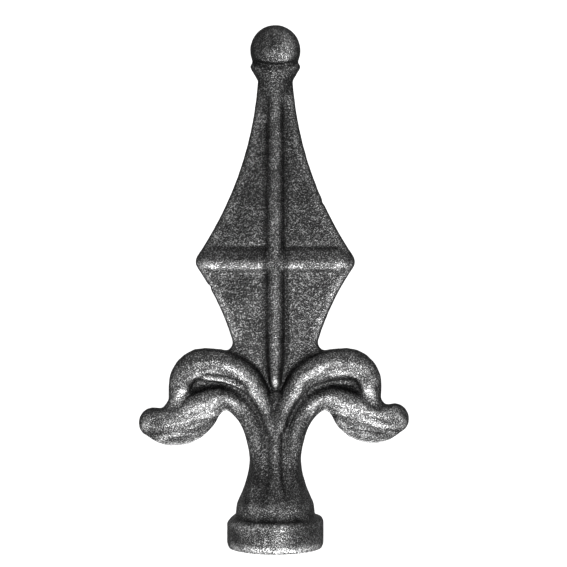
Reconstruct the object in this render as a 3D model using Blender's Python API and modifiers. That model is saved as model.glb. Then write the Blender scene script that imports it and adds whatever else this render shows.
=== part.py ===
"""Fence spear point: a solid iron casting that is welded by its round foot to the top of a fence picket.

From the foot up it has a drum, a fluted stem, a pair of curled leaves, a ribbed blade, a flared collar and a ball.
The blade and the leaves lie in the XZ plane, +Z is up, and the origin is the centre of the foot's flat underside.
The front and the back are alike, because the piece is cast in two halves that part in the XZ plane.
"""

import math

import bmesh
import bpy
import numpy as np
from mathutils import Matrix, Vector

MM = 0.001

# Foot, the round pad that is welded on, and the drum that stands on it
FOOT_RADIUS = 13.9 * MM
FOOT_HEIGHT = 8.7 * MM
FOOT_EDGE = 1.1 * MM
FOOT_WORN = 1.6 * MM
DRUM_RADIUS = 11.45 * MM
DRUM_HEIGHT = 4.3 * MM
DRUM_DRAFT = 0.3 * MM

# Stem, from the drum up to its narrowest place, the waist, and on between the leaves
WAIST_RISE = 11.8 * MM
WAIST_HALF_WIDTH = 7.5 * MM
WAIST_HALF_DEPTH = 6.2 * MM
FLUTE_PITCH = 4.4 * MM
FLUTE_DEPTH = 1.5 * MM
FLUTE_FADE = 5.0 * MM

# Leaves: reach is from the stem's axis to the left tail's tip, rise from the waist to the top of the curl.
# The right tail ends a little shorter and higher.
LEAF_REACH = 39.3 * MM
RIGHT_TAIL_SHORT = 0.8 * MM
RIGHT_TAIL_LIFT = 1.2 * MM
LEAF_RISE = 32.7 * MM
ROLL_HALF_WIDTH = 4.9 * MM
ROLL_HALF_DEPTH = 6.0 * MM
TAIL_HALF_WIDTH = 6.0 * MM
TAIL_HALF_DEPTH = 5.0 * MM
WEB_THICKNESS = 4.4 * MM

# Blade, from the top of the leaves to the shoulder, its widest place, and up to the neck
LOWER_FLANK = 24.4 * MM
UPPER_FLANK = 52.0 * MM
BLADE_HALF_WIDTH = 23.0 * MM
BLADE_FOOT_HALF_WIDTH = 12.2 * MM
BLADE_THICKNESS = 5.0 * MM
BLADE_EDGE = 1.5 * MM
SHOULDER_ROUNDING = 3.0 * MM
LEAF_FILLET = 2.6 * MM
UPPER_HOLLOW = 3.8 * MM
LOWER_HOLLOW = 1.1 * MM

# Ribs that cross on both faces of the blade
RIB_HALF_DEPTH = 4.3 * MM
RIB_TIP_HALF_DEPTH = 5.4 * MM
UPRIGHT_RIB_HALF_WIDTH = 3.1 * MM
CROSS_RIB_HALF_WIDTH = 3.8 * MM
CROSS_RIB_MARGIN = 1.2 * MM

# Neck, collar and ball
NECK_HALF_WIDTH = 5.0 * MM
NECK_HALF_DEPTH = 4.4 * MM
COLLAR_RISE = 4.1 * MM
COLLAR_HALF_WIDTH = 7.35 * MM
COLLAR_HALF_DEPTH = 4.7 * MM
BALL_RADIUS = 7.3 * MM
BALL_SUNK = 2.6 * MM

# Points nearer to each other than this are one point: in a single form, and where the forms have been cast as one
SEAM = 0.001 * MM
SLIVER = 0.04 * MM

# Heights above the foot's underside, each on the one before
DRUM_TOP = FOOT_HEIGHT + DRUM_HEIGHT
WAIST = DRUM_TOP + WAIST_RISE
LEAF_TOP = WAIST + LEAF_RISE
SHOULDER = LEAF_TOP + LOWER_FLANK
NECK = SHOULDER + UPPER_FLANK
COLLAR = NECK + COLLAR_RISE
BALL_CENTRE = COLLAR + BALL_RADIUS - BALL_SUNK

# How finely the round shapes are faceted
FOOT_SIDES = 48
STEM_SIDES = 48
COLLAR_SIDES = 28
LEAF_SIDES = 20
RIB_SIDES = 16
SPANS = 2

IRON_COLOUR = (0.085, 0.085, 0.088, 1.0)
IRON_ROUGHNESS = 0.55
IRON_METALLIC = 0.8

# The fold that rolls over the top of a leaf, from inside the stem to the tail: share of the reach, share of the rise,
# share of the roll's half width and of its half depth, and how far its crest leans to the inner side of the bend
ROLL_STATIONS = (
    (0.010, -0.21, 0.28, 0.92, 0.00),
    (0.010, -0.12, 0.29, 0.98, 0.00),
    (0.010, -0.07, 0.30, 1.00, 0.00),
    (0.010, -0.02, 0.30, 1.02, 0.00),
    (0.014, 0.09, 0.33, 1.06, 0.00),
    (0.020, 0.205, 0.36, 1.07, 0.00),
    (0.032, 0.32, 0.41, 1.07, 0.00),
    (0.065, 0.451, 0.54, 1.05, 0.00),
    (0.134, 0.605, 0.71, 1.03, 0.00),
    (0.236, 0.741, 0.94, 1.00, 0.00),
    (0.353, 0.818, 0.965, 1.00, 0.02),
    (0.470, 0.840, 0.97, 0.97, 0.08),
    (0.565, 0.838, 0.955, 0.94, 0.18),
    (0.646, 0.781, 0.845, 0.90, 0.28),
    (0.688, 0.680, 0.75, 0.84, 0.25),
    (0.708, 0.592, 0.60, 0.76, 0.15),
    (0.719, 0.513, 0.52, 0.68, 0.00),
    (0.741, 0.438, 0.66, 0.58, 0.00),
)

# The lower lip of a leaf, which rises towards the roll on its inside and swells into the tail, in the same terms.
# Its crest leans the other way, up to the roll, so that the tail's broad face looks down.
LIP_STATIONS = (
    (0.134, -0.30, 0.40, 1.62, 0.00),
    (0.127, -0.21, 0.41, 1.46, 0.00),
    (0.118, -0.12, 0.42, 1.25, 0.00),
    (0.115, -0.02, 0.43, 1.10, 0.00),
    (0.123, 0.073, 0.455, 1.10, 0.00),
    (0.135, 0.178, 0.49, 1.13, -0.10),
    (0.165, 0.319, 0.53, 1.08, -0.15),
    (0.225, 0.451, 0.59, 1.00, -0.20),
    (0.335, 0.552, 0.62, 0.94, -0.22),
    (0.456, 0.530, 0.77, 0.93, -0.25),
    (0.551, 0.442, 1.00, 0.97, -0.32),
    (0.639, 0.341, 1.02, 1.00, -0.40),
    (0.734, 0.293, 0.95, 1.00, -0.42),
    (0.822, 0.305, 0.87, 0.93, -0.40),
    (0.902, 0.336, 0.72, 0.83, -0.30),
)
TAIL_TIP_SHARE = 0.099
WEB_FIRST_STATION = 6

# The ridge on the stem's axis where the two rolls run together: share of the leaves' rise, then shares of the
# roll's half width and half depth
RIDGE_STATIONS = (
    (-0.12, 0.22, 0.98),
    (0.06, 0.28, 1.11),
    (0.20, 0.30, 1.11),
    (0.32, 0.28, 1.05),
    (0.42, 0.22, 0.94),
    (0.50, 0.15, 0.80),
)

# The stem's flare down to the drum: share of the waist's rise above it, then half width and half depth as shares of
# the way from the waist's size to the drum's
FLARE_STATIONS = (
    (0.00, 0.93, 0.93),
    (0.28, 0.53, 0.57),
    (0.52, 0.27, 0.31),
    (0.76, 0.08, 0.10),
    (1.00, 0.00, 0.00),
)

# The stem's taper between the leaves: share of the leaves' rise, then shares of the waist's half width and half depth
TAPER_STATIONS = (
    (0.09, 0.97, 1.00),
    (0.18, 0.90, 0.97),
    (0.28, 0.76, 0.89),
    (0.40, 0.58, 0.79),
    (0.52, 0.41, 0.69),
    (0.61, 0.25, 0.58),
)


def clear_scene():
    for thing in list(bpy.data.objects):
        bpy.data.objects.remove(thing, do_unlink=True)


def new_collection(name):
    made = bpy.data.collections.new(name)
    bpy.context.scene.collection.children.link(made)
    return made


def object_from(bm, name, collection):
    """Turns a bmesh into a smooth-shaded object of that collection."""
    mesh = bpy.data.meshes.new(name)
    bm.to_mesh(mesh)
    bm.free()
    made = bpy.data.objects.new(name, mesh)
    collection.objects.link(made)
    return made


def smooth_curve(stations, spans):
    """A Catmull-Rom curve through the stations, each a tuple of numbers, with that many spans between neighbours."""
    rows = [np.array(row, float) for row in stations]
    rows = [2 * rows[0] - rows[1], *rows, 2 * rows[-1] - rows[-2]]
    found = []
    for before, a, b, after in zip(rows, rows[1:], rows[2:], rows[3:]):
        for step in range(spans):
            t = step / spans
            found.append(
                0.5
                * (
                    2 * a
                    + (b - before) * t
                    + (2 * before - 5 * a + 4 * b - after) * t**2
                    + (3 * a - before - 3 * b + after) * t**3
                )
            )
    found.append(rows[-2])
    return found


def rounded_end(rows, length, steps=4):
    """Rows that close a sweep in a half round of that length past its last row."""
    last = rows[-1]
    along = (last - rows[-2])[:2]
    along = along / np.linalg.norm(along)
    found = []
    for step in range(1, steps + 1):
        angle = math.radians(86) * step / steps
        row = last.copy()
        row[:2] += along * length * math.sin(angle)
        row[2:4] *= math.cos(angle)
        found.append(row)
    return found


def section_matrix(rows, index):
    """Places a unit circle as the section of a sweep in the XZ plane: its X lies across the path, its Y in depth."""
    x, z, half_width, half_depth = rows[index][:4]
    ahead = rows[min(index + 1, len(rows) - 1)] - rows[max(index - 1, 0)]
    along = Vector((ahead[0], 0, ahead[1])).normalized()
    across = Vector((-along.z, 0, along.x))
    turn = Matrix((across, (0, 1, 0), along)).transposed().to_4x4()
    return Matrix.Translation((x, 0, z)) @ turn @ Matrix.Diagonal((half_width, half_depth, 1, 1))


def swept(name, rows, sides, collection, reshape=None):
    """A closed body along a path in the XZ plane: the ring of one section is extruded to the next.

    A row is x, z, half width and half depth, and whatever else reshape needs to move a point of the unit circle.
    """
    bm = bmesh.new()
    placed = section_matrix(rows, 0)
    ring = bmesh.ops.create_circle(bm, segments=sides, radius=1.0, matrix=placed)["verts"]
    edges = list(bm.edges)
    rings = [(ring, placed)]
    for index in range(1, len(rows)):
        following = section_matrix(rows, index)
        grown = bmesh.ops.extrude_edge_only(bm, edges=edges)["geom"]
        ring = [part for part in grown if isinstance(part, bmesh.types.BMVert)]
        inside = set(ring)
        edges = [part for part in grown if isinstance(part, bmesh.types.BMEdge) and inside.issuperset(part.verts)]
        bmesh.ops.transform(bm, matrix=following @ placed.inverted(), verts=ring)
        rings.append((ring, following))
        placed = following
    if reshape:
        for (ring, placed), row in zip(rings, rows):
            back = placed.inverted()
            for vert in ring:
                vert.co = placed @ reshape(back @ vert.co, row)
    bmesh.ops.holes_fill(bm, edges=bm.edges, sides=sides)
    bmesh.ops.recalc_face_normals(bm, faces=bm.faces)
    return object_from(bm, name, collection)


def leaf_section(side):
    """Squares up a section that is deeper than wide, so its crest stays as round as its width, and leans the crest."""

    def reshape(point, row):
        half_width, half_depth, lean = row[2:5]
        height = abs(point.y)
        if height > 0.01:
            wall = max(half_depth - half_width, 0) / half_depth
            point.y = math.copysign(wall + (1 - wall) * height, point.y)
        point.x -= side * lean * height**2
        return point

    return reshape


def stem_section(point, row):
    """Presses the flutes into the stem's front and back: a ridge in the middle and one on either side."""
    _, z, half_width, half_depth = row
    pitch = FLUTE_PITCH * max(half_width / WAIST_HALF_WIDTH, 1.0)
    out = abs(point.x)
    kept = min(max((0.85 - out) / 0.25, 0.0), 1.0) * min(max((z - DRUM_TOP) / FLUTE_FADE, 0.0), 1.0)
    wave = math.cos(2 * math.pi * out * half_width / pitch)
    point.y += math.copysign(kept * wave * FLUTE_DEPTH / 2 / half_depth, point.y)
    return point


def turned(name, profile, sides, collection):
    """A solid turned about Z from a profile of (radius, height) that runs from the top to the bottom."""
    bm = bmesh.new()
    verts = [bm.verts.new((radius, 0, height)) for radius, height in profile]
    for a, b in zip(verts, verts[1:]):
        bm.edges.new((a, b))
    made = object_from(bm, name, collection)
    screw = made.modifiers.new("turned", "SCREW")
    screw.steps = screw.render_steps = sides
    screw.use_merge_vertices = True
    screw.merge_threshold = SEAM
    return made


def plate(name, outline, thickness, collection, edge=0.0):
    """A flat plate in the XZ plane from its (x, z) outline, with its rim rounded to that edge radius.

    It is a mesh whose caps are welded to its rim.
    """
    curve = bpy.data.curves.new(name, "CURVE")
    curve.dimensions = "2D"
    curve.fill_mode = "BOTH"
    curve.extrude = thickness / 2 - edge
    curve.bevel_depth = edge
    curve.bevel_resolution = 1
    curve.offset = -edge
    spline = curve.splines.new("POLY")
    spline.points.add(len(outline) - 1)
    for point, (x, z) in zip(spline.points, outline):
        point.co = (x, z, 0, 1)
    spline.use_cyclic_u = True
    drawn = bpy.data.objects.new(name + "_outline", curve)
    collection.objects.link(drawn)
    drawn.rotation_euler.x = math.radians(90)
    bpy.context.view_layer.update()
    evaluated = drawn.evaluated_get(bpy.context.evaluated_depsgraph_get())
    mesh = bpy.data.meshes.new_from_object(evaluated)
    mesh.transform(drawn.matrix_world)
    bpy.data.objects.remove(drawn)
    bm = bmesh.new()
    bm.from_mesh(mesh)
    bmesh.ops.remove_doubles(bm, verts=bm.verts, dist=SEAM)
    bmesh.ops.dissolve_limit(bm, angle_limit=math.radians(0.5), verts=bm.verts, edges=bm.edges)
    bmesh.ops.recalc_face_normals(bm, faces=bm.faces)
    return object_from(bm, name, collection)


def arc(start, end, bow, steps):
    """Points of a circular arc from start to end that bows by that much to the left of the way it runs."""
    start, end = Vector(start), Vector(end)
    chord = end - start
    half = chord.length / 2
    radius = (half**2 + bow**2) / (2 * bow)
    side = Vector((-chord.y, chord.x)).normalized()
    centre = (start + end) / 2 + side * (bow - radius)
    sweep = 2 * math.asin(half / radius)
    first = start - centre
    turn = -1 if first.cross(end - centre) < 0 else 1
    found = []
    for step in range(steps + 1):
        angle = turn * sweep * step / steps
        found.append(centre + Matrix.Rotation(angle, 2) @ first)
    return found


def level(share):
    """The height of a share of the leaves' rise above the waist."""
    return WAIST + share * LEAF_RISE


def leaf_rows(stations, side, half_width, half_depth, tail_short, tail_lift):
    """The rows of a sweep from a leaf's stations. The side is -1 for the left leaf and 1 for the right one."""
    rows = []
    for out, up, width, depth, lean in smooth_curve(stations, SPANS):
        past_curl = min(max((out - 0.4) / 0.5, 0.0), 1.0) * min(max((0.7 - up) / 0.3, 0.0), 1.0)
        rows.append(
            np.array(
                (
                    side * (out * LEAF_REACH - past_curl * tail_short),
                    level(up) + past_curl * tail_lift,
                    width * half_width,
                    depth * half_depth,
                    lean,
                )
            )
        )
    return rows


def add_leaf(name, side, tail_short, tail_lift, collection):
    """One curled leaf: the roll over its top, the lip that swells into its tail, and the web sunk between them."""
    roll = leaf_rows(ROLL_STATIONS, side, ROLL_HALF_WIDTH, ROLL_HALF_DEPTH, tail_short, tail_lift)
    lip = leaf_rows(LIP_STATIONS, side, TAIL_HALF_WIDTH, TAIL_HALF_DEPTH, tail_short, tail_lift)
    tail = rounded_end(lip, TAIL_TIP_SHARE * LEAF_REACH)
    swept(name + "_roll", roll, LEAF_SIDES, collection, leaf_section(side))
    swept(name + "_lip", lip + tail, LEAF_SIDES, collection, leaf_section(side))
    first = WEB_FIRST_STATION * SPANS
    outline = [row[:2] for row in roll[first:]] + [row[:2] for row in reversed(lip[first : -2 * SPANS])]
    plate(name + "_web", outline, WEB_THICKNESS, collection)


def quarter_round(centre_radius, centre_height, radius, first, last, steps=3):
    """Points of a rounded rim in a turned profile, between two angles in degrees above the horizontal."""
    found = []
    for step in range(steps + 1):
        turn = math.radians(first + (last - first) * step / steps)
        found.append((centre_radius + radius * math.cos(turn), centre_height + radius * math.sin(turn)))
    return found


def add_foot(collection):
    """The round pad with eased edges, and the drum on it, drawn in a little towards its top."""
    eased = FOOT_RADIUS - FOOT_EDGE
    profile = [(0, DRUM_TOP), (DRUM_RADIUS - DRUM_DRAFT, DRUM_TOP), (DRUM_RADIUS, FOOT_HEIGHT)]
    profile += quarter_round(eased, FOOT_HEIGHT - FOOT_EDGE, FOOT_EDGE, 90, 0)
    profile += quarter_round(eased, FOOT_EDGE, FOOT_EDGE, 0, -90)
    profile += [(0, 0)]
    return turned("spear_point", profile, FOOT_SIDES, collection)


def add_worn_rim(collection):
    """The block that takes the foot's top rim off on the left, where it slopes down from the drum's side."""
    start = DRUM_RADIUS + FOOT_EDGE / 10
    drop = math.atan2(FOOT_WORN, FOOT_RADIUS - start)
    span = FOOT_RADIUS
    lifted = Matrix.Translation((-span / 2, 0, span / 2))
    tilted = Matrix.Rotation(-drop, 4, "Y")
    bm = bmesh.new()
    placed = Matrix.Translation((-start, 0, FOOT_HEIGHT)) @ tilted @ lifted
    bmesh.ops.create_cube(bm, size=1.0, matrix=placed @ Matrix.Diagonal((span, 2 * span, span, 1)))
    return object_from(bm, "worn_rim", collection)


def add_stem(collection):
    """The fluted stem, from inside the drum up to where it ends between the leaves, and the ridge on it."""
    top = DRUM_RADIUS - DRUM_DRAFT
    rows = []
    for share, width, depth in FLARE_STATIONS:
        rows.append(
            (
                0,
                DRUM_TOP + share * WAIST_RISE,
                WAIST_HALF_WIDTH + width * (top - WAIST_HALF_WIDTH),
                WAIST_HALF_DEPTH + depth * (top - WAIST_HALF_DEPTH),
            )
        )
    for share, width, depth in TAPER_STATIONS:
        rows.append((0, level(share), width * WAIST_HALF_WIDTH, depth * WAIST_HALF_DEPTH))
    root = (0, DRUM_TOP - DRUM_HEIGHT / 2, *rows[0][2:])
    rows = [np.array(root), *smooth_curve(rows, SPANS)]
    swept("stem", rows, STEM_SIDES, collection, stem_section)
    ridge = []
    for share, width, depth in RIDGE_STATIONS:
        ridge.append(np.array((0, level(share), width * ROLL_HALF_WIDTH, depth * ROLL_HALF_DEPTH)))
    swept("ridge", ridge, RIB_SIDES, collection)


def blade_half_outline():
    """The blade's right edge, from above the neck down to behind the leaves."""
    shoulder = Vector((BLADE_HALF_WIDTH + SHOULDER_ROUNDING * 0.2, SHOULDER))
    neck = Vector((NECK_HALF_WIDTH, NECK))
    foot = Vector((BLADE_FOOT_HALF_WIDTH, LEAF_TOP + LEAF_FILLET / 2))
    upper = arc(shoulder, neck, UPPER_HOLLOW, 12)[::-1]
    lower = arc(foot, shoulder, LOWER_HOLLOW, 8)[::-1]
    fillet = []
    for degrees in (30, 60, 90):
        turn = math.radians(degrees)
        fillet.append(foot + LEAF_FILLET * Vector((1 - math.cos(turn), -math.sin(turn))))
    behind = [
        fillet[-1] + Vector((LEAF_FILLET * 1.6, 0)),
        Vector((foot.x * 1.45, level(0.80))),
        Vector((foot.x * 0.7, level(0.68))),
    ]
    top = [Vector((NECK_HALF_WIDTH, NECK + COLLAR_RISE / 2))]
    return top + rounded_corner(upper, lower, SHOULDER_ROUNDING) + fillet + behind


def rounded_corner(coming, going, radius):
    """Joins two runs of points that meet in a corner, with an arc of that radius in place of the corner."""
    corner = coming[-1]
    before = (coming[-2] - corner).normalized()
    after = (going[1] - corner).normalized()
    half_angle = math.acos(max(-1.0, min(1.0, before.dot(after)))) / 2
    reach = radius / math.tan(half_angle)
    start, end = corner + before * reach, corner + after * reach
    bow = radius * (1 - math.sin(half_angle))
    kept_before = [point for point in coming[:-1] if (point - corner).length > reach * 1.1]
    kept_after = [point for point in going[1:] if (point - corner).length > reach * 1.1]
    return kept_before + arc(start, end, bow, 4) + kept_after


def add_blade(collection):
    right = blade_half_outline()
    point = [Vector((0, level(0.5)))]
    left = [Vector((-spot.x, spot.y)) for spot in reversed(right)]
    plate("blade", right + point + left, BLADE_THICKNESS, collection, BLADE_EDGE)


def add_ribs(collection):
    """The upright rib, which ends in a blunt tip between the leaves, and the cross rib from shoulder to shoulder."""
    tip = level(0.60)
    upright = [
        (0, COLLAR, UPRIGHT_RIB_HALF_WIDTH, RIB_HALF_DEPTH),
        (0, SHOULDER, UPRIGHT_RIB_HALF_WIDTH, RIB_HALF_DEPTH),
        (0, LEAF_TOP + LOWER_FLANK / 4, UPRIGHT_RIB_HALF_WIDTH, RIB_HALF_DEPTH),
        (0, LEAF_TOP - LEAF_RISE / 8, UPRIGHT_RIB_HALF_WIDTH * 0.9, (RIB_HALF_DEPTH + RIB_TIP_HALF_DEPTH) / 2),
        (0, tip + LEAF_RISE / 9, UPRIGHT_RIB_HALF_WIDTH * 0.66, RIB_TIP_HALF_DEPTH),
    ]
    upright = [np.array(row, float) for row in upright]
    swept("upright_rib", upright + rounded_end(upright, LEAF_RISE / 10), RIB_SIDES, collection)
    end = BLADE_HALF_WIDTH - CROSS_RIB_MARGIN
    plain = (CROSS_RIB_HALF_WIDTH, RIB_HALF_DEPTH)
    half = [(0, 1.0), (end - 3 * CROSS_RIB_MARGIN, 1.0), (end - CROSS_RIB_MARGIN, 0.85), (end, 0.6)]
    cross = [(-x, SHOULDER, plain[0] * share, plain[1] * share) for x, share in reversed(half)]
    cross += [(x, SHOULDER, plain[0] * share, plain[1] * share) for x, share in half[1:]]
    swept("cross_rib", [np.array(row, float) for row in cross], RIB_SIDES, collection)


def add_collar_and_ball(collection):
    rise = COLLAR - NECK
    rows = (
        (0, NECK - UPPER_FLANK * 0.45, NECK_HALF_WIDTH, BLADE_THICKNESS * 0.48),
        (0, NECK - UPPER_FLANK * 0.25, NECK_HALF_WIDTH, BLADE_THICKNESS * 0.58),
        (0, NECK - UPPER_FLANK * 0.1, NECK_HALF_WIDTH, NECK_HALF_DEPTH * 0.84),
        (0, NECK, NECK_HALF_WIDTH, NECK_HALF_DEPTH),
        (0, NECK + rise * 0.8, COLLAR_HALF_WIDTH * 0.95, COLLAR_HALF_DEPTH * 0.98),
        (0, COLLAR, COLLAR_HALF_WIDTH, COLLAR_HALF_DEPTH),
        (0, COLLAR + rise * 0.14, COLLAR_HALF_WIDTH * 0.97, COLLAR_HALF_DEPTH * 0.98),
        (0, COLLAR + rise * 0.34, COLLAR_HALF_WIDTH * 0.84, COLLAR_HALF_DEPTH * 0.85),
    )
    swept("collar", [np.array(row, float) for row in rows], COLLAR_SIDES, collection)
    bm = bmesh.new()
    bmesh.ops.create_uvsphere(
        bm, u_segments=28, v_segments=18, radius=BALL_RADIUS, matrix=Matrix.Translation((0, 0, BALL_CENTRE))
    )
    object_from(bm, "ball", collection)


def iron():
    material = bpy.data.materials.new("cast_iron")
    material.use_nodes = True
    shader = material.node_tree.nodes["Principled BSDF"]
    shader.inputs["Base Color"].default_value = IRON_COLOUR
    shader.inputs["Roughness"].default_value = IRON_ROUGHNESS
    shader.inputs["Metallic"].default_value = IRON_METALLIC
    material.diffuse_color = IRON_COLOUR
    return material


def main():
    clear_scene()
    parts = new_collection("fence_spear_point")
    forms = new_collection("fence_spear_point_forms")
    casting = add_foot(parts)
    add_stem(forms)
    add_leaf("left_leaf", -1, 0.0, 0.0, forms)
    add_leaf("right_leaf", 1, RIGHT_TAIL_SHORT, RIGHT_TAIL_LIFT, forms)
    add_blade(forms)
    add_ribs(forms)
    add_collar_and_ball(forms)
    cutters = new_collection("fence_spear_point_cutters")
    worn = add_worn_rim(cutters)
    for helper in [*forms.objects, worn]:
        helper.hide_render = True
        helper.display_type = "WIRE"
    union = casting.modifiers.new("cast_as_one", "BOOLEAN")
    union.operation = "UNION"
    union.solver = "EXACT"
    union.operand_type = "COLLECTION"
    union.collection = forms
    cut = casting.modifiers.new("worn_rim", "BOOLEAN")
    cut.operation = "DIFFERENCE"
    cut.solver = "EXACT"
    cut.object = worn
    weld = casting.modifiers.new("slivers", "WELD")
    weld.merge_threshold = SLIVER
    casting.data.materials.append(iron())


main()
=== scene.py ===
"""Looks of a cast-iron fence spear point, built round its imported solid.

The casting is the solid itself with a cast skin: softened corners, hollows sunk under the leaves, rolls that
lean out at the top with a bead along their lower edge, ridges on the tails, grooves beside the ribs, down the
stem and under the ball, two dents and a rough, grainy surface. +Z is up and the front is the side towards -Y.
Lengths are in metres, but in mm in the constants that say so and in what is worked out from them.
"""

import math

import bmesh
import bpy
import numpy as np
from bpy.props import FloatProperty, IntProperty, PointerProperty
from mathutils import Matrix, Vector, noise


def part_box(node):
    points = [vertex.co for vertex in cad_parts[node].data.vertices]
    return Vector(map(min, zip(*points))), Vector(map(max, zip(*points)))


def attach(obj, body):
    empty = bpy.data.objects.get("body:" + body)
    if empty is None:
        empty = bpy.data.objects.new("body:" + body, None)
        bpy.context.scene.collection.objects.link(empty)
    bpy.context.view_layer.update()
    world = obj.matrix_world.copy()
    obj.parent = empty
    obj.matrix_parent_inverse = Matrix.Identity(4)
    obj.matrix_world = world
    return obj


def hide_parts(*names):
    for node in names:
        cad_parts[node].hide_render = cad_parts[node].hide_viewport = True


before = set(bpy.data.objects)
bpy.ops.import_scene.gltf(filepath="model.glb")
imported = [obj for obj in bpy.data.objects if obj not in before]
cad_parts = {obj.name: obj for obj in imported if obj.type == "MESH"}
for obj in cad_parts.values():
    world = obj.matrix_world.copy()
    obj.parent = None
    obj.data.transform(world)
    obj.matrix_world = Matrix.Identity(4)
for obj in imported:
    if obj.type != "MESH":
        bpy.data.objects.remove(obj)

bl_info = {
    "name": "Fence spear point",
    "version": (1, 0, 0),
    "blender": (4, 5, 0),
    "location": "3D View > Sidebar > Spear point",
    "description": "Builds a rough cast-iron fence spear point and the plain stage it is shown on",
    "category": "Object",
}

MM = 0.001
NODE = "spear_point"

# Lines of the left leaf, seen from the front, as distance from the stem's axis and height above the
# underside, in mm. The right leaf's are the same. The hollow, bead and roll lines run from the leaf's tip
# inwards, so their positive side is the lower one. The tail line runs outwards, and its is the upper one.
HOLLOW_LINE = (
    (25.4, 44.2),
    (23.7, 45.9),
    (21.7, 46.8),
    (18.8, 47.0),
    (15.3, 46.5),
    (12.5, 45.6),
    (9.6, 44.2),
    (7.0, 42.1),
    (5.0, 39.5),
    (3.5, 36.4),
    (2.7, 32.9),
)
BEAD_LINE = ((22.2, 48.3), (19.9, 48.1), (17.3, 47.9), (14.5, 47.5), (12.2, 46.8), (9.9, 45.6), (8.1, 44.2))
ROLL_LINE = (
    (27.7, 45.4),
    (26.6, 49.7),
    (23.7, 52.2),
    (20.0, 53.3),
    (15.8, 52.8),
    (11.5, 50.8),
    (7.8, 47.9),
    (5.0, 44.0),
)
TAIL_LINE = ((12.0, 39.7), (24.0, 36.2), (37.5, 33.8))

# Where along its line each form lies, as shares of the line: it comes in over the first pair and goes out
# over the second
HOLLOW_RUN = ((0.0, 0.15), (0.45, 1.0))
PAINTED_HOLLOW_SHADOW_RUN = ((0.0, 0.08), (0.8, 1.0))
BEAD_RUN = ((0.0, 0.2), (0.75, 1.0))
ROLL_RUN = ((0.0, 0.1), (0.85, 1.0))
TAIL_RUN = ((0.02, 0.2), (0.85, 1.0))

# The forms across those lines, in mm. A groove runs above the bead, and the ridges of the tail fade away from
# their line and are lower above it.
HOLLOW_WIDTH = 1.7
ROLL_WIDTH = 3.0
BEAD_WIDTH = 0.45
BEAD_GROOVE_ABOVE = 1.0
BEAD_GROOVE_WIDTH = 0.6
BEAD_GROOVE_SHARE = 0.5
TAIL_FADE = (3.0, 5.0)
TAIL_UPPER = (0.0, 1.5)
TAIL_UPPER_LOSS = 0.65

# How much of the bead has come out on the right leaf, beside the left one
BEAD_SHARE_RIGHT = 0.15

# Dents in the blade's edge: distance to the right of the axis and height above the underside, in mm
NICKS = ((-19.1, 74.6), (13.4, 98.8))
NICK_WIDTH = 0.7

# The cross rib's height and that of the lowest point of the crease under the ball, as shares of the overall
# height. The crease's width and the length that sets how fast it rises to the sides are in mm.
RIB_HEIGHT_SHARE = 0.547
BALL_CREASE_HEIGHT = 0.917
BALL_CREASE_SPREAD = 25
BALL_CREASE_WIDTH = 0.55

# Heights and, at each of them, how far from the axis the upright rib's crease and the stem's flute run, in mm
UPRIGHT_CREASE_LINE = ((50, 110, 130), (3.0, 2.9, 2.4))
UPRIGHT_CREASE_WIDTH = 0.65
FLUTE_LINE = ((14, 22, 30), (3.4, 2.3, 2.3))
FLUTE_WIDTH = 0.9

# The crease and the two swelling flanks of the cross rib: height above the rib's middle and width, in mm
CROSS_CREASE = (4.2, 0.6)
CROSS_CREASE_LOSS = 0.3
UPPER_FLANK = (2.6, 0.8)
LOWER_FLANK = (-2.2, 0.8)
LOWER_FLANK_SHARE = 0.4

# Where the parts of the casting lie, as distance from the axis (OUT) or height above the underside (UP), in
# mm. Two pairs: it comes in over the first and goes out over the second. One pair: where it changes.
ARM_OUT = ((1.5, 2.5), (17, 20))
UPRIGHT_UP = ((49, 56), (122, 133))
FLUTE_UP = ((13, 20), (31, 35))
SMOOTH_STEM_UP = ((10, 13), (26, 31))
STEM_UP = ((14, 20), (36, 44))
STEM_OUT = (5, 11)
TAIL_UP = ((35, 38), (40, 43))
TAIL_OUT = ((14, 20), (31, 35))
BELLY_UP = (33, 36)
BELLY_OUT = (14, 20)
BASE_UP = (14, 20)
BASE_OUT = (3, 10)
MOTTLE_UP = (12, 20)
WALL_UP = (24, 34)
ROLL_UP = ((37, 42), (53, 57))
ROLL_OUT = (5, 12)
ROLL_TIP_OUT = (21, 26)
BLADE_UP = (55, 65)
PANEL_UP = ((84, 90), (115, 128))
NECK_UP = ((116, 122), (132, 135))
BALL_UP = (136, 139)
HEAD_UP = (128, 134)

# How far a face looks to the front or back, down, or to the right, as that share of its normal
FACING = (0.15, 0.5)
FACING_WEAR_AND_HIGHLIGHT = (0.25, 0.6)
FACING_WALL = (0.3, 0.8)
FACING_PANEL = (0.93, 0.99)
DOWN_PAINTED_HIGHLIGHT = (0.05, 0.35)
DOWN_ROLL = (-0.05, 0.1)
BALL_SIDE = (0.1, 0.5)

# Light and shade painted on regions, as how much brighter each is than flat skin, or darker with a minus:
# painted highlights on the tails and rolls, painted light on the sides of drum and foot and on the neck, and
# painted shade on the bellies of the tails, in the groove above the left bead, on the stem and panels, in the
# rib creases and, as a painted shadow, in the hollows
PAINTED_LIGHT_AND_SHADE = {
    "tails": 0.7,
    "bellies of the tails": -0.3,
    "drum and foot": 0.4,
    "rolls": 0.6,
    "neck": 0.2,
    "groove above the bead": -0.55,
    "stem": -0.4,
    "panels": -0.25,
    "hollows": -0.2,
    "rib creases": -0.6,
}
ROLL_TIP_LOSS = 0.8

# The painted shadow in the hollow under each roll, a dark band across the hollow's line: it comes in over the
# first pair, in mm, and ends over the second, as shares of its reach. The reach is in mm and changes with the
# share along the line.
PAINTED_HOLLOW_SHADOW = (-1.5, -0.7)
PAINTED_HOLLOW_SHADOW_END = (0.55, 1.0)
PAINTED_HOLLOW_SHADOW_REACH = ((0.45, 0.8), (3.2, 1.5))

# The painted shade in the groove between the left bead and its roll: height above the bead's line and width,
# in mm
PAINTED_GROOVE_SHADE = (1.5, 1.2)
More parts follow.
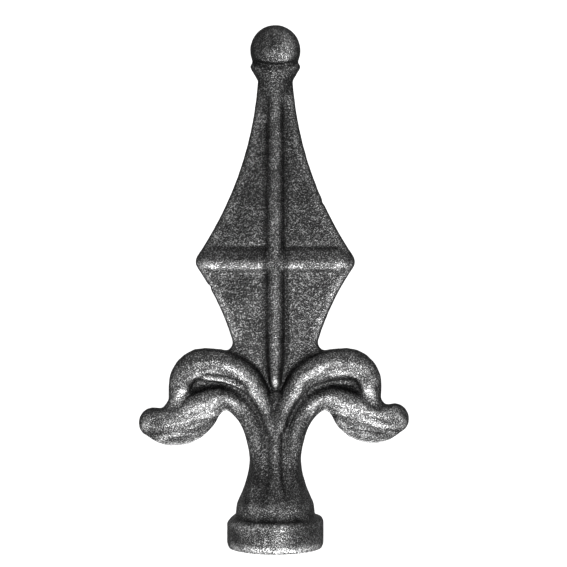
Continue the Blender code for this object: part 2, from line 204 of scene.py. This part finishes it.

# Painted shade in what lies deeper than its surroundings, and wear with a painted highlight on what stands
# out from them; the painted highlight is stronger on faces that look down. The depths are in mm, negative
# where the skin stands out.
SURROUNDINGS_PASSES = 40
PAINTED_RECESS_SHADE = 0.4
PAINTED_RECESS_SHADE_DEPTH = (0.08, 0.45)
WEAR_AND_PAINTED_HIGHLIGHT = 1.0
PAINTED_HIGHLIGHT_DOWN = 2.4
PAINTED_HIGHLIGHT_DOWN_BLADE_LOSS = 0.55
PAINTED_HIGHLIGHT_DOWN_HEAD_LOSS = 0.8
WEAR_AND_HIGHLIGHT_DEPTH = (-0.26, -0.03)
# Painted shade on sides that turn away from the front and back
PAINTED_WALL_SHADE = 0.75

# The ball: a painted highlight to the right, painted shade below, and a little darker all over
BALL_PAINTED_HIGHLIGHT_RIGHT = 0.9
BALL_PAINTED_SHADE_BELOW = 0.35
BALL_ALL = 0.15

# Uneven brightness of drum and foot, with the size of its patches in mm
MOTTLE = 0.6
MOTTLE_SIZE = 3.5
SHADE_PASSES = 6

# The stem is smoother than the rest: share of a much softer surface that is mixed in there
SMOOTH_STEM_SHARE = 0.7
SMOOTH_STEM_PASSES = 30

# Vertices this near the underside, in mm, whose normals point down at least this much are laid flat on it
UNDERSIDE_NEAR = 0.5
UNDERSIDE_NORMAL = -0.7

# Where in the noise each use of it starts
LUMP_SEED = 3
STREAK_SEED = 5
MOTTLE_SEED = 7
GRIT_SEED = 11
NOISE_OCTAVES = 2

# The iron. Scales of its grain are in features for each metre. The ranges say from which two values of the
# noise or the shade to which two values of the result. The bumps are in metres.
METALLIC = 0.85
FINE_SCALE = 2600
SAND_SCALE = 1300
PATCH_SCALE = 220
GRAIN_DETAIL = 2
GRAIN_ROUGHNESS = 0.6
PATCH_RANGE = (0.35, 0.65, 0.65, 1.2)
GRAIN_RANGE = (0.48, 0.67, 0.03, 0.215)
# Painted highlight together with wear: extra brightness of the grains where the shade is high
WEAR_AND_HIGHLIGHT_GRAIN_RANGE = (0.36, 0.56, 0.15, 1.0)
WEAR_AND_HIGHLIGHT_RANGE = (1.6, 3.4, 0.0, 0.22)
ROUGHNESS_RANGE = (0.46, 0.66, 0.42, 0.34)
SAND_BUMP = 0.16 * MM
FINE_BUMP = 0.18 * MM

# For each light its name, its place, the share of the camera's height that it points at, its size, the
# setting that gives its power, and the share of that
LIGHTS = (
    ("key", (0.045, -0.27, -0.155), 0.65, 0.22, "key", 1.0),
    ("left", (-0.3, -0.16, -0.04), 0.1, 0.1, "fill", 1.0),
    ("right", (0.22, -0.3, 0.06), 1.8, 0.1, "fill", 0.6),
    ("back", (0.0, 0.4, -0.35), 1.0, 0.3, "fill", 8.0),
    ("top", (0.0, -0.3, 1.1), 1.0, 1.0, "fill", 10.0),
)

# The camera's focal length and sensor are in mm
LENS = 93.9
SENSOR = 36
CLIP_START = 0.01

# The paper: radius of its flat floor, radius of the bend round it, height of its edge, and steps of the mesh
PAPER_FLAT = 0.9
PAPER_BEND = 0.3
PAPER_TOP = 1.4
PAPER_BEND_STEPS = 8
PAPER_ROUND_STEPS = 48
PAPER_COLOUR = (0.95, 0.95, 0.95)


def length(name, description, default):
    return FloatProperty(
        name=name, description=description, default=default, min=0.0, unit="LENGTH", precision=5
    )


def power(name, description, default):
    return FloatProperty(name=name, description=description, default=default, min=0.0, unit="POWER")


def brightness(name, description, default):
    return FloatProperty(name=name, description=description, default=default, min=0.0)


class SpearPointCastingSettings(bpy.types.PropertyGroup):
    voxel: length("Voxel", "Size of the grid that the casting's skin is laid on", 0.42 * MM)
    soften: IntProperty(name="Soften", description="Passes that round the corners", default=5, min=0)
    hollow: length("Hollow", "How much deeper the hollow under each leaf's roll is sunk", 0.5 * MM)
    roll_tilt: length("Roll tilt", "How far the upper half of each roll leans out over the lower", 1.1 * MM)
    bead: length("Bead", "How far the thin bead stands out along the lower edge of each roll", 0.6 * MM)
    striation: length("Striation", "Height of the ridges that run along the tails", 0.5 * MM)
    striation_pitch: length("Striation pitch", "Distance between the ridges on the tails", 1.5 * MM)
    striation_run: length("Striation run", "Length over which the ridges come and go", 14 * MM)
    crease: length("Crease", "Depth of the grooves along the ribs", 0.34 * MM)
    rib_fullness: length("Rib fullness", "How far the cross rib's flanks swell", 0.3 * MM)
    flute: length("Flute", "Depth of the two grooves down the stem", 0.8 * MM)
    ball_crease: length("Ball crease", "Depth of the groove under the ball", 0.5 * MM)
    nick: length("Nick", "Depth of the dents in the blade's edge", 0.35 * MM)
    lump: length("Lump", "Height of the uneven patches left by the mould", 0.04 * MM)
    lump_size: length("Lump size", "Width of the uneven patches", 2.2 * MM)
    grit: length("Grit", "Height of the sandy grain of the skin", 0.03 * MM)
    grit_size: length("Grit size", "Width of the sandy grain", 0.85 * MM)


class SpearPointStageSettings(bpy.types.PropertyGroup):
    distance: length("Distance", "From the camera to the middle of the casting", 425.7 * MM)
    height: length("Height", "Of the camera above the floor", 75.65 * MM)
    aside: length("Aside", "How far the camera stands to the right", 2.36 * MM)
    key: power("Key", "Power of the low light in front", 2.3)
    fill: power("Fill", "Power of the left light, which all but the key follow", 0.35)
    ambient: brightness("Ambient", "Brightness of the surroundings", 0.2)
    paper: brightness("Paper", "Brightness of the floor and the backdrop", 1.0)


def front_view(places):
    """Each vertex as distance from the stem's axis and height above the underside, in mm."""
    return np.stack((np.abs(places[:, 0]), places[:, 2]), axis=1) / MM


def distance_to_line(points, line):
    """For each point, the distance to a line of points, which side of it, and the share along it."""
    line = np.array(line)
    spans = np.linalg.norm(np.diff(line, axis=0), axis=1)
    before = np.concatenate(([0.0], np.cumsum(spans)))
    best = np.full(len(points), np.inf)
    side = np.zeros(len(points))
    along = np.zeros(len(points))
    for index, span in enumerate(spans):
        start = line[index]
        way = (line[index + 1] - start) / span
        offset = points - start
        run = np.clip(offset @ way, 0.0, span)
        gap = offset - run[:, None] * way
        far = np.linalg.norm(gap, axis=1)
        nearer = far < best
        best[nearer] = far[nearer]
        side[nearer] = np.sign(gap[:, 0] * -way[1] + gap[:, 1] * way[0])[nearer]
        along[nearer] = ((before[index] + run) / before[-1])[nearer]
    return best, side, along


def ramp(value, low, high):
    """0 below low, 1 above high, and a smooth rise between them."""
    share = np.clip((value - low) / (high - low), 0.0, 1.0)
    return share * share * (3 - 2 * share)


def fade(value, low, high):
    """1 below low, 0 above high, and a smooth fall between them."""
    return 1 - ramp(value, low, high)


def band(value, rise, fall):
    """A rise from 0 to 1 over the first pair of values and a fall back to 0 over the second."""
    return ramp(value, *rise) * fade(value, *fall)


def bump(value, width):
    """A rounded bump of that width about zero."""
    return np.exp(-((value / width) ** 2))


def noise_at(points, size, seed):
    """Smooth noise in about -1 to 1 with features of that size."""
    shift = Vector((seed, seed * 2, seed * 3))
    return np.array([noise.fractal(Vector(p) / size + shift, 1.0, 2.0, NOISE_OCTAVES) for p in points])


def neighbours_mean(mesh, values, passes):
    """The values smoothed over neighbouring vertices."""
    edges = np.empty(len(mesh.edges) * 2, np.int32)
    mesh.edges.foreach_get("vertices", edges)
    a, b = edges.reshape(-1, 2).T
    count = np.bincount(a, minlength=len(values)) + np.bincount(b, minlength=len(values))
    for _ in range(passes):
        total = np.empty_like(values)
        for column in range(values.shape[1]):
            total[:, column] = np.bincount(a, values[b, column], len(values))
            total[:, column] += np.bincount(b, values[a, column], len(values))
        values = (values + total / count[:, None]) / 2
    return values


def skin_of(node, voxel):
    """The solid's shape on an even grid of faces, as a new object at the origin."""
    bm = bmesh.new()
    bm.from_mesh(node.data)
    bmesh.ops.remove_doubles(bm, verts=bm.verts, dist=0.001 * MM)
    bmesh.ops.recalc_face_normals(bm, faces=bm.faces)
    mesh = bpy.data.meshes.new("casting_coarse")
    bm.to_mesh(mesh)
    bm.free()
    coarse = bpy.data.objects.new("casting_coarse", mesh)
    bpy.context.scene.collection.objects.link(coarse)
    remesh = coarse.modifiers.new("skin", "REMESH")
    remesh.mode = "VOXEL"
    remesh.voxel_size = voxel
    evaluated = coarse.evaluated_get(bpy.context.evaluated_depsgraph_get())
    fine = bpy.data.meshes.new_from_object(evaluated)
    bpy.data.objects.remove(coarse)
    bpy.data.meshes.remove(mesh)
    fine.name = "casting"
    made = bpy.data.objects.new("casting", fine)
    bpy.context.scene.collection.objects.link(made)
    return made


def vertex_arrays(mesh):
    places = np.empty(len(mesh.vertices) * 3)
    mesh.vertices.foreach_get("co", places)
    normals = np.empty(len(mesh.vertices) * 3)
    mesh.vertex_normals.foreach_get("vector", normals)
    return places.reshape(-1, 3), normals.reshape(-1, 3)


def put_places(mesh, places):
    mesh.vertices.foreach_set("co", places.ravel())
    mesh.update()


def rib_creases(out, up, rib):
    """How deep each point lies in the grooves beside the upright rib and above the cross rib."""
    upright = bump(out - np.interp(up, *UPRIGHT_CREASE_LINE), UPRIGHT_CREASE_WIDTH)
    upright *= band(up, *UPRIGHT_UP)
    above, width = CROSS_CREASE
    return np.maximum(upright, bump(up - rib - above, width) * band(out, *ARM_OUT))


def carved(places, normals, settings, top):
    """How far each vertex moves along its normal for the forms pressed into the casting."""
    front = front_view(places)
    out, up = front.T
    facing = ramp(np.abs(normals[:, 1]), *FACING)

    away, _, along = distance_to_line(front, HOLLOW_LINE)
    move = -settings.hollow * band(along, *HOLLOW_RUN) * bump(away, HOLLOW_WIDTH)

    away, side, along = distance_to_line(front, ROLL_LINE)
    upward = -away * side / ROLL_WIDTH
    move += settings.roll_tilt * facing * upward * bump(upward, 1.0) * band(along, *ROLL_RUN)

    away, side, along = distance_to_line(front, BEAD_LINE)
    across = away * side
    section = bump(across, BEAD_WIDTH)
    section -= BEAD_GROOVE_SHARE * bump(across + BEAD_GROOVE_ABOVE, BEAD_GROOVE_WIDTH)
    kept = band(along, *BEAD_RUN) * np.where(places[:, 0] < 0, 1.0, BEAD_SHARE_RIGHT)
    move += settings.bead * kept * section

    away, side, along = distance_to_line(front, TAIL_LINE)
    across = away * side
    whole = sum(math.dist(a, b) for a, b in zip(TAIL_LINE, TAIL_LINE[1:]))
    streaks = np.stack(
        (
            along * whole * MM / settings.striation_run,
            across * MM / settings.striation_pitch,
            np.sign(places[:, 0]),
        ),
        axis=1,
    )
    kept = band(along, *TAIL_RUN) * fade(away, *TAIL_FADE)
    kept *= 1 - TAIL_UPPER_LOSS * ramp(across, *TAIL_UPPER)
    move += settings.striation * noise_at(streaks, 1.0, STREAK_SEED) * kept * facing

    rib = RIB_HEIGHT_SHARE * top
    arm = band(out, *ARM_OUT)
    kept = 1 - CROSS_CREASE_LOSS * arm * (up > rib)
    move -= settings.crease * facing * rib_creases(out, up, rib) * kept
    for (above, width), share in ((UPPER_FLANK, 1.0), (LOWER_FLANK, LOWER_FLANK_SHARE)):
        move += settings.rib_fullness * facing * share * bump(up - rib - above, width) * arm

    flute = bump(out - np.interp(up, *FLUTE_LINE), FLUTE_WIDTH)
    move -= settings.flute * facing * band(up, *FLUTE_UP) * flute

    junction = BALL_CREASE_HEIGHT * top + out**2 / BALL_CREASE_SPREAD
    move -= settings.ball_crease * facing * bump(up - junction, BALL_CREASE_WIDTH)

    for nick in NICKS:
        away = np.linalg.norm(places[:, (0, 2)] / MM - nick, axis=1)
        move -= settings.nick * bump(away, NICK_WIDTH)
    return move


def regions_of(places, normals, top):
    """For each region where light or shade is painted, how far each vertex belongs to it, from 0 to 1."""
    front = front_view(places)
    out, up = front.T

    # Painted shadow in the hollow under each roll
    away, side, along = distance_to_line(front, HOLLOW_LINE)
    across = away * side
    reach = np.interp(along, *PAINTED_HOLLOW_SHADOW_REACH)
    hollow = ramp(across, *PAINTED_HOLLOW_SHADOW) * fade(across / reach, *PAINTED_HOLLOW_SHADOW_END)

    # Painted highlight on the rolls' faces that look down, fading at their outer tips
    roll = band(up, *ROLL_UP) * ramp(-normals[:, 2], *DOWN_ROLL)
    roll *= ramp(out, *ROLL_OUT) * (1 - ROLL_TIP_LOSS * ramp(out, *ROLL_TIP_OUT))

    # Painted shade in the groove above the left bead
    away, side, beside = distance_to_line(front, BEAD_LINE)
    above, width = PAINTED_GROOVE_SHADE
    groove = bump(away * side + above, width) * band(beside, *BEAD_RUN)
    return {
        "tails": band(out, *TAIL_OUT) * band(up, *TAIL_UP),
        "bellies of the tails": ramp(out, *BELLY_OUT) * fade(up, *BELLY_UP),
        "drum and foot": fade(up, *BASE_UP) * ramp(out, *BASE_OUT),
        "rolls": roll,
        "neck": band(up, *NECK_UP),
        "groove above the bead": groove * (places[:, 0] < 0),
        "stem": band(up, *STEM_UP) * fade(out, *STEM_OUT),
        "panels": ramp(np.abs(normals[:, 1]), *FACING_PANEL) * band(up, *PANEL_UP),
        "hollows": hollow * band(along, *PAINTED_HOLLOW_SHADOW_RUN),
        "rib creases": rib_creases(out, up, RIB_HEIGHT_SHARE * top),
    }


def shade_of(mesh, places, normals, top):
    """How bright the iron is painted at each vertex: 1 on flat skin, less where shade or shadow is painted,
    more where it is worn or a highlight is painted, and patchy on drum and foot.
    """
    _, up = front_view(places).T
    right, level, down = normals[:, 0], np.abs(normals[:, 1]), -normals[:, 2]

    surroundings = neighbours_mean(mesh, places, SURROUNDINGS_PASSES)
    depth = np.sum((surroundings - places) * normals, axis=1) / MM
    # Painted shade in what lies deeper than its surroundings
    shade = 1 - PAINTED_RECESS_SHADE * ramp(depth, *PAINTED_RECESS_SHADE_DEPTH)

    # Wear and a painted highlight on what stands out, with more painted highlight on faces that look down
    below = ramp(down, *DOWN_PAINTED_HIGHLIGHT)
    below *= 1 - PAINTED_HIGHLIGHT_DOWN_HEAD_LOSS * ramp(up, *HEAD_UP)
    below *= 1 - PAINTED_HIGHLIGHT_DOWN_BLADE_LOSS * ramp(up, *BLADE_UP)
    shade *= 1 + (WEAR_AND_PAINTED_HIGHLIGHT + PAINTED_HIGHLIGHT_DOWN * below) * fade(depth, *WEAR_AND_HIGHLIGHT_DEPTH) * ramp(level, *FACING_WEAR_AND_HIGHLIGHT)
    # Painted shade on sides that turn away from the front and back
    shade *= 1 - PAINTED_WALL_SHADE * ramp(up, *WALL_UP) * fade(level, *FACING_WALL)

    # Painted highlight on the ball's right and painted shade on its underside
    ball_painted_light = BALL_PAINTED_HIGHLIGHT_RIGHT * ramp(right, *BALL_SIDE) - BALL_PAINTED_SHADE_BELOW * ramp(down, *BALL_SIDE) - BALL_ALL
    shade *= 1 + ramp(up, *BALL_UP) * ball_painted_light
    shade *= 1 + MOTTLE * fade(up, *MOTTLE_UP) * noise_at(places, MOTTLE_SIZE * MM, MOTTLE_SEED)

    # Light and shade painted on regions
    for name, region in regions_of(places, normals, top).items():
        shade *= 1 + PAINTED_LIGHT_AND_SHADE[name] * region
    return neighbours_mean(mesh, shade[:, None], SHADE_PASSES)[:, 0]


def cast_iron():
    """Bare dark iron, rough from the mould, with bright grains, and the painted shade, shadows and highlights
    that the shade attribute carries.
    """
    material = bpy.data.materials.new("cast_iron")
    material.use_nodes = True
    nodes, links = material.node_tree.nodes, material.node_tree.links
    shader = nodes["Principled BSDF"]
    shader.inputs["Metallic"].default_value = METALLIC
    where = nodes.new("ShaderNodeTexCoord")

    def grain(scale):
        texture = nodes.new("ShaderNodeTexNoise")
        texture.inputs["Scale"].default_value = scale
        texture.inputs["Detail"].default_value = GRAIN_DETAIL
        texture.inputs["Roughness"].default_value = GRAIN_ROUGHNESS
        links.new(where.outputs["Object"], texture.inputs["Vector"])
        return texture.outputs["Fac"]

    def between(value, numbers):
        node = nodes.new("ShaderNodeMapRange")
        node.interpolation_type = "SMOOTHSTEP"
        for name, number in zip(("From Min", "From Max", "To Min", "To Max"), numbers):
            node.inputs[name].default_value = number
        links.new(value, node.inputs["Value"])
        return node.outputs["Result"]

    def joined(operation, a, b):
        node = nodes.new("ShaderNodeMath")
        node.operation = operation
        links.new(a, node.inputs[0])
        links.new(b, node.inputs[1])
        return node.outputs["Value"]

    fine = grain(FINE_SCALE)
    sand = grain(SAND_SCALE)
    attribute = nodes.new("ShaderNodeAttribute")
    attribute.attribute_name = "shade"
    shade = attribute.outputs["Fac"]
    patches = joined("MULTIPLY", shade, between(grain(PATCH_SCALE), PATCH_RANGE))
    grains = joined("MULTIPLY", between(fine, GRAIN_RANGE), patches)
    # Painted highlight and wear, added where the shade is high
    wear_and_painted_highlight = joined("MULTIPLY", between(fine, WEAR_AND_HIGHLIGHT_GRAIN_RANGE), between(shade, WEAR_AND_HIGHLIGHT_RANGE))
    tone = joined("ADD", grains, wear_and_painted_highlight)
    colour = nodes.new("ShaderNodeCombineColor")
    for channel in ("Red", "Green", "Blue"):
        links.new(tone, colour.inputs[channel])
    links.new(colour.outputs["Color"], shader.inputs["Base Color"])
    links.new(between(fine, ROUGHNESS_RANGE), shader.inputs["Roughness"])
    last = None
    for height, reach in ((sand, SAND_BUMP), (fine, FINE_BUMP)):
        node = nodes.new("ShaderNodeBump")
        node.inputs["Strength"].default_value = 1.0
        node.inputs["Distance"].default_value = reach
        links.new(height, node.inputs["Height"])
        if last:
            links.new(last, node.inputs["Normal"])
        last = node.outputs["Normal"]
    links.new(last, shader.inputs["Normal"])
    material.diffuse_color = (0.1, 0.1, 0.1, 1.0)
    return material


def flat_material(name, colour, glow):
    material = bpy.data.materials.new(name)
    material.use_nodes = True
    shader = material.node_tree.nodes["Principled BSDF"]
    shader.inputs["Base Color"].default_value = (*colour, 1.0)
    shader.inputs["Roughness"].default_value = 1.0
    shader.inputs["Specular IOR Level"].default_value = 0.0
    shader.inputs["Emission Color"].default_value = (*colour, 1.0)
    shader.inputs["Emission Strength"].default_value = glow
    return material


class OBJECT_OT_spear_point_casting(bpy.types.Operator):
    """Lays a rough cast skin on the solid and carves its finer forms"""

    bl_idname = "object.spear_point_casting"
    bl_label = "Casting"
    bl_options = {"REGISTER", "UNDO"}

    def execute(self, context):
        settings = context.scene.spear_point_casting
        low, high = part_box(NODE)
        top = high.z / MM
        casting = skin_of(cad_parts[NODE], settings.voxel)
        mesh = casting.data
        places, _ = vertex_arrays(mesh)
        put_places(mesh, neighbours_mean(mesh, places, settings.soften))

        places, _ = vertex_arrays(mesh)
        share = SMOOTH_STEM_SHARE * band(places[:, 2] / MM, *SMOOTH_STEM_UP)
        softer = neighbours_mean(mesh, places, SMOOTH_STEM_PASSES)
        put_places(mesh, places + share[:, None] * (softer - places))

        places, normals = vertex_arrays(mesh)
        put_places(mesh, places + normals * carved(places, normals, settings, top)[:, None])

        places, normals = vertex_arrays(mesh)
        shade = mesh.attributes.new("shade", "FLOAT", "POINT")
        shade.data.foreach_set("value", shade_of(mesh, places, normals, top))
        rough = settings.lump * noise_at(places, settings.lump_size, LUMP_SEED)
        rough += settings.grit * noise_at(places, settings.grit_size, GRIT_SEED)
        places += normals * rough[:, None]
        under = (places[:, 2] < low.z + UNDERSIDE_NEAR * MM) & (normals[:, 2] < UNDERSIDE_NORMAL)
        places[under, 2] = low.z
        put_places(mesh, np.clip(places, low, high))

        mesh.shade_smooth()
        mesh.materials.append(cast_iron())
        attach(casting, "root")
        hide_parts(NODE)
        return {"FINISHED"}


class OBJECT_OT_spear_point_stage(bpy.types.Operator):
    """Sets the pale floor and backdrop, the soft lights and the camera"""

    bl_idname = "object.spear_point_stage"
    bl_label = "Stage"
    bl_options = {"REGISTER", "UNDO"}

    def execute(self, context):
        scene = context.scene
        settings = scene.spear_point_stage
        self.add_paper(scene, settings)
        for name, place, aim, size, setting, share in LIGHTS:
            target = Vector((0, 0, settings.height * aim))
            self.add_light(scene, name, Vector(place), target, size, getattr(settings, setting) * share)
        self.add_camera(scene, settings)
        world = bpy.data.worlds.new("surroundings")
        world.use_nodes = True
        background = world.node_tree.nodes["Background"]
        background.inputs["Color"].default_value = (1, 1, 1, 1)
        background.inputs["Strength"].default_value = settings.ambient
        scene.world = world
        scene.view_settings.view_transform = "Standard"
        return {"FINISHED"}

    def add_paper(self, scene, settings):
        """A round sheet that lies flat as the floor and curves up all round as the backdrop."""
        profile = [(0.0, 0.0), (PAPER_FLAT, 0.0)]
        for step in range(1, PAPER_BEND_STEPS + 1):
            turn = math.pi / 2 * step / PAPER_BEND_STEPS
            out = PAPER_FLAT + PAPER_BEND * math.sin(turn)
            profile.append((out, PAPER_BEND * (1 - math.cos(turn))))
        profile.append((PAPER_FLAT + PAPER_BEND, PAPER_TOP))
        bm = bmesh.new()
        verts = [bm.verts.new((out, 0, z)) for out, z in profile]
        edges = [bm.edges.new(pair) for pair in zip(verts, verts[1:])]
        bmesh.ops.spin(
            bm,
            geom=verts + edges,
            cent=(0, 0, 0),
            axis=(0, 0, 1),
            angle=2 * math.pi,
            steps=PAPER_ROUND_STEPS,
        )
        bmesh.ops.remove_doubles(bm, verts=bm.verts, dist=0.1 * MM)
        bmesh.ops.recalc_face_normals(bm, faces=bm.faces)
        mesh = bpy.data.meshes.new("paper")
        bm.to_mesh(mesh)
        bm.free()
        paper = bpy.data.objects.new("paper", mesh)
        scene.collection.objects.link(paper)
        mesh.shade_smooth()
        mesh.materials.append(flat_material("paper", PAPER_COLOUR, settings.paper))
        paper.visible_diffuse = False
        paper.visible_glossy = False
        paper.visible_shadow = False

    def add_light(self, scene, name, place, target, size, energy):
        data = bpy.data.lights.new(name, "AREA")
        data.size = size
        data.energy = energy
        light = bpy.data.objects.new(name, data)
        light.location = place
        light.rotation_euler = (target - place).to_track_quat("-Z", "Y").to_euler()
        scene.collection.objects.link(light)

    def add_camera(self, scene, settings):
        data = bpy.data.cameras.new("camera")
        data.sensor_width = SENSOR
        data.lens = LENS
        data.clip_start = CLIP_START
        camera = bpy.data.objects.new("camera", data)
        camera.location = (settings.aside, -settings.distance, settings.height)
        camera.rotation_euler = (math.pi / 2, 0, 0)
        scene.collection.objects.link(camera)
        scene.camera = camera


class VIEW3D_PT_spear_point(bpy.types.Panel):
    bl_label = "Fence spear point"
    bl_idname = "VIEW3D_PT_spear_point"
    bl_space_type = "VIEW_3D"
    bl_region_type = "UI"
    bl_category = "Spear point"

    def draw(self, context):
        for name in ("spear_point_casting", "spear_point_stage"):
            box = self.layout.box()
            settings = getattr(context.scene, name)
            for key in settings.__annotations__:
                box.prop(settings, key)
            box.operator("object." + name)


CLASSES = (
    SpearPointCastingSettings,
    SpearPointStageSettings,
    OBJECT_OT_spear_point_casting,
    OBJECT_OT_spear_point_stage,
    VIEW3D_PT_spear_point,
)


def register():
    for cls in CLASSES:
        bpy.utils.register_class(cls)
    bpy.types.Scene.spear_point_casting = PointerProperty(type=SpearPointCastingSettings)
    bpy.types.Scene.spear_point_stage = PointerProperty(type=SpearPointStageSettings)


def unregister():
    del bpy.types.Scene.spear_point_stage
    del bpy.types.Scene.spear_point_casting
    for cls in reversed(CLASSES):
        bpy.utils.unregister_class(cls)


def main():
    register()
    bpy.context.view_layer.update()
    bpy.ops.object.spear_point_casting()
    bpy.ops.object.spear_point_stage()


if __name__ == "__main__":
    main()
